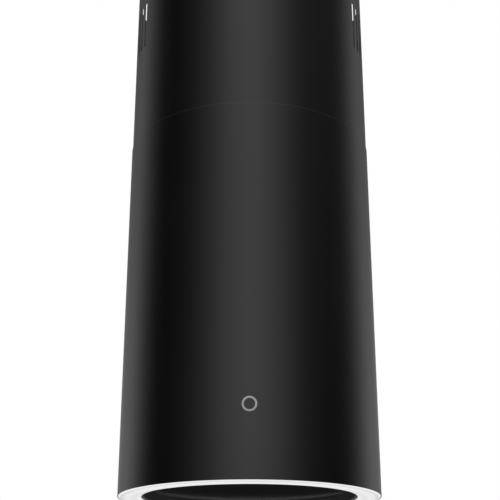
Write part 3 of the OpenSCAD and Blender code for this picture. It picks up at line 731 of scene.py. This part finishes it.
def weld_stud(angle):
    """Plain stud that points inwards from the shell's wall, near the rim."""
    radius, tip, root, height = 2 * MM, 165.6 * MM, 174.5 * MM, RIM_Z + 16 * MM
    return put(rod(radius, tip, root), turned(angle) @ along_x(0, 0, height))


def build_tubes():
    """The lower shell with its weld studs, and the chimney tube with its openings."""
    wall = Sheet(SHELL_R, SHELL_LOW.z, SHELL_HIGH.z, []).build()
    studs = [weld_stud(TURN * (i + 0.5) / 4) for i in range(4)]
    shell = make("outer_shell", join([wall] + studs), "lower_shell")
    wall_normals(shell, SHELL_R)
    # The shell's coat carries a painted highlight along its top edge
    shell.data.materials[0] = powder_coat("satin_powder_coat_painted_edge_highlight", BLACK, 0.27, SHELL_HIGH.z)
    wall = Sheet(TUBE_R, TUBE_LOW.z, TUBE_HIGH.z, vent_cells()).build()
    chimney = make("slotted_chimney", wall, "upper_chimney")
    wall_normals(chimney, TUBE_R)


# --- light, badge and suction panel ----------------------------------------------------


def build_diffuser():
    """Shallow opal channel: a crowned face, a stiff outer wall and a thinner inner one that clips in."""
    low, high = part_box("light_diffuser")
    outer, drop = high.x, RIM_Z - low.z
    inner, middle = outer - RING_WIDTH, outer - RING_WIDTH / 2
    outer_wall, inner_wall, floor_z = 2 * MM, 1.5 * MM, RIM_Z + 2 * MM
    edge_z, clip_z = RIM_Z + 0.35 * MM, RIM_Z + RING_CLIP_H
    crown = RING_WIDTH * RING_WIDTH / (8 * drop) + drop / 2
    face = []
    for i in range(25):
        x = (i / 24 - 0.5) * (RING_WIDTH - 1.2 * MM)
        face.append((middle + x, RIM_Z - drop + crown - math.sqrt(crown * crown - x * x)))
    walls = [(outer, edge_z), (outer, high.z), (outer - outer_wall, high.z), (outer - outer_wall, floor_z),
             (inner + inner_wall, floor_z), (inner + inner_wall, clip_z), (inner, clip_z), (inner, edge_z)]
    tight, wide = 0.3 * MM, 0.5 * MM
    radii = [0] * len(face) + [tight, tight, tight, wide, wide, tight, tight, tight]
    make("ring_light_cover", lathe(rounded(face + walls, radii, 3)), "light_diffuser", 50)


def build_badge():
    """Plain ring with soft edges, laid on the curved sheet."""
    low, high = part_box("front_badge")
    centre, outer = (low.z + high.z) / 2, high.x
    inner, thick, sunk = outer * 0.72, -low.y - SHELL_R, 0.02 * MM
    outline = rounded([(inner, sunk), (outer, sunk), (outer, thick), (inner, thick)],
                      [0, 0, 0.18 * MM, 0.18 * MM], 4)
    bm = lathe(outline, 96)
    for v in bm.verts:
        x, z, out = v.co.x, v.co.y, v.co.z + SHELL_R
        v.co = (out * math.sin(x / SHELL_R), -out * math.cos(x / SHELL_R), centre + z)
    make("ring_badge", bm, "front_badge", 60)


def build_panel():
    """Pressed disc with a folded edge, two hinge eyes and two tabs for the magnets."""
    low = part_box("suction_panel")[0]
    radius, sheet, fold_z = -low.y, 1.2 * MM, low.z + 12 * MM
    outline = [(0, low.z), (radius, low.z), (radius, fold_z), (radius - sheet, fold_z),
               (radius - sheet, low.z + sheet), (0, low.z + sheet)]
    parts = [lathe(rounded(outline, [0, 1.8 * MM, 0.35 * MM, 0.35 * MM, 0.7 * MM, 0], 6))]
    axis_z, half_eye, half_lug = low.z + 4 * MM, 3 * MM, 2.8 * MM
    tab_in, tab_out, tab_reach = radius - 1 * MM, radius + 8 * MM, math.radians(6)
    tab = rounded([(tab_in, fold_z - sheet), (tab_out, fold_z - sheet), (tab_out, fold_z), (tab_in, fold_z)],
                  0.2 * MM, 2)
    for side in (-1, 1):
        eye_x, tab_angle = side * 31 * MM, math.radians(-90 + side * 25)
        eye = rod(3.2 * MM, -half_eye, half_eye, 40, 0.25 * MM, bore=1.56 * MM)
        parts.append(put(eye, along_x(eye_x, radius, axis_z)))
        parts.append(box_part((eye_x - half_eye, radius - 5.5 * MM, axis_z - half_lug),
                              (eye_x + half_eye, radius - 2 * MM, axis_z + half_lug), 0.4 * MM))
        parts.append(lathe(tab, 6, tab_angle - tab_reach / 2, tab_reach))
    piece = make("folded_panel", join(parts), "suction_panel")
    even_shading(piece)
    piece.data.materials[0] = powder_coat("smooth_powder_coat", BLACK, 0.11, specular=0.2)


# --- grease filter ---------------------------------------------------------------------

GAUGE = 0.7 * MM
DIAMOND_W, DIAMOND_H, STRAND_W, STRAND_T = 12 * MM, 5.6 * MM, 1.1 * MM, 0.7 * GAUGE


def add_strand(bm, start, end, turn):
    """One slanted strand of a diamond, with a rectangular section, turned about Z."""
    direction = Vector((end[0] - start[0], end[1] - start[1], 0)).normalized()
    across = Vector((-direction.y, direction.x, 0)) * STRAND_W / 2
    c, s = math.cos(turn), math.sin(turn)
    corners = []
    for point in (start, end):
        for side, up in ((-1, -0.5), (1, -0.5), (1, 0.5), (-1, 0.5)):
            x, y = point[0] + side * across.x, point[1] + side * across.y
            corners.append(bm.verts.new((c * x - s * y, s * x + c * y, point[2] + up * STRAND_T)))
    for i in range(4):
        k = (i + 1) % 4
        bm.faces.new((corners[i], corners[k], corners[k + 4], corners[i + 4]))
    bm.faces.new(corners[3::-1])
    bm.faces.new(corners[4:])


def expanded_layer(bm, radius, base, turn):
    """One disc of slit sheet pulled into diamonds: each strand climbs or falls half a diamond."""
    rows, columns = int(2 * radius / DIAMOND_H) + 2, int(radius / DIAMOND_W) + 2
    high_z, low_z = base + GAUGE, base - 0.2 * GAUGE
    for row in range(-rows, rows):
        for column in range(-columns, columns):
            for falls in (0, 1):
                x0 = (column + falls * 0.5 + (row % 2) * 0.5) * DIAMOND_W
                y0 = (row + falls) * DIAMOND_H / 2
                x1, y1 = x0 + DIAMOND_W / 2, y0 + (-1 if falls else 1) * DIAMOND_H / 2
                if max(math.hypot(x0, y0), math.hypot(x1, y1)) > radius:
                    continue
                z0, z1 = (high_z, low_z) if falls else (low_z, high_z)
                add_strand(bm, (x0, y0, z0), (x1, y1, z1), turn)


def build_filter_mesh():
    """Three layers of expanded metal in a rim, each layer turned against the last."""
    low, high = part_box("filter_mesh")
    radius, depth, rim_w = high.x, high.z - low.z, 1.6 * MM
    bm = bmesh.new()
    for layer in range(3):
        base = low.z + GAUGE + layer * (depth - 2 * GAUGE) / 2.2
        expanded_layer(bm, radius - 0.6 * MM, base, math.radians(60 * layer))
    rim = rounded([(radius - rim_w, low.z), (radius, low.z), (radius, high.z), (radius - rim_w, high.z)],
                  0.3 * MM, 2)
    make("expanded_mesh", join([bm, lathe(rim, 144)]), "filter_mesh", merge=False)


# --- blower ----------------------------------------------------------------------------


def blade(inner, radius, half):
    """One forward-curved blade, thickest in its middle, that leads more and more towards its tip."""
    front, back = [], []
    for k in range(7):
        t = k / 6
        r = inner + 0.3 * MM + t * (radius - inner - 0.6 * MM)
        lead = 0.085 * (t + 0.9 * t * t)
        thick = (0.55 + 0.35 * math.sin(math.pi * t)) * MM
        front.append((r * math.cos(lead), r * math.sin(lead) + thick / 2))
        back.append((r * math.cos(lead), r * math.sin(lead) - thick / 2))
    return extruded(back + list(reversed(front)), -half + 0.5 * MM, half - 0.5 * MM)


def build_impeller():
    """Double-inlet forward-curved wheel: curved blades between two rims and a centre disc with a hub."""
    low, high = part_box("impeller")
    radius, half = (high.x - low.x) / 2, (high.y - low.y) / 2
    inner, blades = radius - 10 * MM, 36
    parts = []
    for z0, z1 in ((-half, -half + 2 * MM), (half - 2 * MM, half)):
        parts.append(lathe(rounded([(inner, z0), (radius, z0), (radius, z1), (inner, z1)], 0.4 * MM, 2), 144))
    bore, hub, foot, disc = 4.02 * MM, 10 * MM, 13 * MM, radius - 0.5 * MM
    half_hub, half_disc = 6 * MM, 1 * MM
    outline = [(bore, -half_hub), (hub, -half_hub), (foot, -half_disc), (disc, -half_disc),
               (disc, half_disc), (foot, half_disc), (hub, half_hub), (bore, half_hub)]
    radii = [0, 0.5 * MM, 1 * MM, 0.4 * MM, 0.4 * MM, 1 * MM, 0.5 * MM, 0]
    parts.append(lathe(rounded(outline, radii, 3), 144))
    parts += [put(blade(inner, radius, half), turned(TURN * i / blades)) for i in range(blades)]
    make("squirrel_cage_wheel", put(join(parts), along_y(*((low + high) / 2))), "impeller")


# --- mains cable -----------------------------------------------------------------------


def build_cable():
    """Cord that leaves the gland, folds back on itself and ends in a moulded plug with a ribbed sleeve."""
    low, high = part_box("mains_cable")
    radius, bend, drop = 3.5 * MM, 18 * MM, 30 * MM
    x, y = high.x - radius, (low.y + high.y) / 2
    top = high.z - radius - bend
    plug_x, plug_top = x - 2 * bend, top - 29 * MM
    path = [(x, y, low.z + (top - low.z) * i / 12) for i in range(12)]
    for i in range(29):
        angle = math.pi * i / 28
        path.append((x - bend + bend * math.cos(angle), y, top + bend * math.sin(angle)))
    path += [(plug_x, y, top - drop * i / 6) for i in range(1, 7)]
    parts = [cord(path, radius)]
    for i in range(5):
        z = plug_top + (2.6 + 3.4 * i) * MM
        rib = rod((5.6 - 0.35 * i) * MM, z, z + 2 * MM, 28, 0.4 * MM, bore=3.3 * MM)
        parts.append(put(rib, Matrix.Translation((plug_x, y, 0))))
    # The plug's body and its narrower nose, in mm: half width, half depth, lower and upper end below the
    # plug's top, and edge radius, with the number of steps round an edge
    for half_w, half_d, bottom, end, edge, steps in ((12, 8, 30, 0, 2.2, 4), (9, 6, 38, 29, 1.2, 3)):
        parts.append(box_part((plug_x - half_w * MM, y - half_d * MM, plug_top - bottom * MM),
                              (plug_x + half_w * MM, y + half_d * MM, plug_top - end * MM), edge * MM, steps))
    even_shading(make("cord_and_plug", join(parts), "mains_cable", 45))


build_tubes()
build_diffuser()
build_badge()
build_panel()
build_filter_mesh()
build_impeller()
build_cable()

# --- CAD nodes that are shown as they are ----------------------------------------------

for name, node in frame["nodes"].items():
    if not node.hide_render:
        node.data.materials.clear()
        node.data.materials.append(MATERIALS[SLOTS[name]])

# --- light, floor and camera -----------------------------------------------------------


def bell(tree, angle, centre, width):
    """A soft hump round a centre. The centre and the width are in degrees."""
    near = calc(tree, "DIVIDE", calc(tree, "SUBTRACT", angle, math.radians(centre)), math.radians(width))
    return calc(tree, "EXPONENT", calc(tree, "MULTIPLY", calc(tree, "MULTIPLY", near, near), -1.0))


def studio():
    """White backdrop for the camera, and for everything else a dim room of soft lights.

    They are one wide light in front, a strip at each side towards the back, one behind, a weak one on the
    right, and the zenith. A flag darkens the left.
    """
    world = bpy.data.worlds.new("studio")
    bpy.context.scene.world = world
    world.use_nodes = True
    tree = world.node_tree
    tree.nodes.clear()
    x, y, z = split(tree, add(tree, "ShaderNodeTexCoord").outputs["Generated"])
    front = calc(tree, "MULTIPLY", y, -1.0)
    azimuth = calc(tree, "ARCTAN2", calc(tree, "ABSOLUTE", x), front)
    to_right = calc(tree, "ARCTAN2", x, front)
    height = calc(tree, "ARCSINE", z)

    def climb(start, end, low, high):
        """Goes from low to high between two heights in degrees."""
        return spread(tree, height, low, high, math.radians(start), math.radians(end))

    key = product(tree, bell(tree, azimuth, 0, 36), 1.2, climb(7, 18, 1.15, 1.0))
    strips = product(tree, bell(tree, azimuth, 125, 22), 0.5,
                     climb(6, 20, 1.4, 0.92), climb(20, 38, 1.0, 0.68))
    behind = product(tree, bell(tree, azimuth, 180, 26), 0.65, climb(10, 38, 1.0, 0.1))
    fill = product(tree, bell(tree, to_right, 72, 20), 0.1, climb(10, 34, 0.1, 1.0))
    flag = spread(tree, bell(tree, to_right, -86, 12), 1.0, 0.45, 0, 1)
    lights = product(tree, total(tree, key, strips, behind, fill), climb(-1, 5, 0.0, 1.0))
    room = product(tree, total(tree, lights, climb(-5, 5, 0.012, 0.03), climb(45, 75, 0.0, 0.4)), flag)

    dim = add(tree, "ShaderNodeBackground", {"Color": WHITE, "Strength": room}).outputs[0]
    white = add(tree, "ShaderNodeBackground", {"Color": WHITE, "Strength": 1.0}).outputs[0]
    mixed = add(tree, "ShaderNodeMixShader", {0: camera_ray(tree), 1: dim, 2: white}).outputs[0]
    add(tree, "ShaderNodeOutputWorld", {"Surface": mixed})


def duct_light():
    """Square soft light over the open duct that the camera doesn't see. A lamp shines down by itself."""
    data = bpy.data.lights.new("duct_light", "AREA")
    data.shape = "RECTANGLE"
    data.size, data.size_y = DUCT_LIGHT_SIZE, DUCT_LIGHT_SIZE
    data.energy = DUCT_LIGHT_POWER
    lamp = bpy.data.objects.new("duct_light", data)
    bpy.context.scene.collection.objects.link(lamp)
    lamp.location = (0, 0, DUCT_LIGHT_Z)
    lamp.visible_camera = False


def floor():
    """Pale matt floor well below the hanging hood.

    The camera sees it evenly pale. For everything else it is dark, but for a lit pool under the hood.
    """
    bm = bmesh.new()
    bmesh.ops.create_grid(bm, x_segments=1, y_segments=1, size=FLOOR_HALF)
    mesh = bpy.data.meshes.new("floor")
    bm.to_mesh(mesh)
    bm.free()
    plane = bpy.data.objects.new("floor", mesh)
    bpy.context.scene.collection.objects.link(plane)
    plane.location.z = FLOOR_Z
    material, tree, bsdf = new_material("pale_floor")
    where = place(tree)
    pale = shade(tree, noise(tree, where, 0.4), (0.74, 0.74, 0.74), (0.78, 0.78, 0.78))
    seen = camera_ray(tree)
    pool = spread(tree, length(tree, where), 1, 0, POOL_FULL_R, POOL_END_R)
    feed(tree, bsdf, {
        "Base Color": shade(tree, seen, (0.02, 0.02, 0.02), pale),
        "Roughness": 0.9,
        "Specular IOR Level": 0.0,
        "Emission Color": WHITE,
        "Emission Strength": calc(tree, "MAXIMUM", product(tree, seen, 0.68), product(tree, pool, 0.5)),
    })
    mesh.materials.append(material)


def camera():
    """Stands in front of the hood and below its rim, and looks up at it."""
    data = bpy.data.cameras.new("camera")
    data.lens, data.sensor_width = LENS, SENSOR
    data.clip_start, data.clip_end = 0.05, 1000
    cam = bpy.data.objects.new("camera", data)
    bpy.context.scene.collection.objects.link(cam)
    cam.location = (0, -CAMERA_BACK, RIM_Z - CAMERA_DROP)
    cam.rotation_euler = (TURN / 4 + CAMERA_TILT, 0, CAMERA_YAW)
    bpy.context.scene.camera = cam


studio()
duct_light()
floor()
camera()
bpy.context.scene.view_settings.view_transform = "Standard"
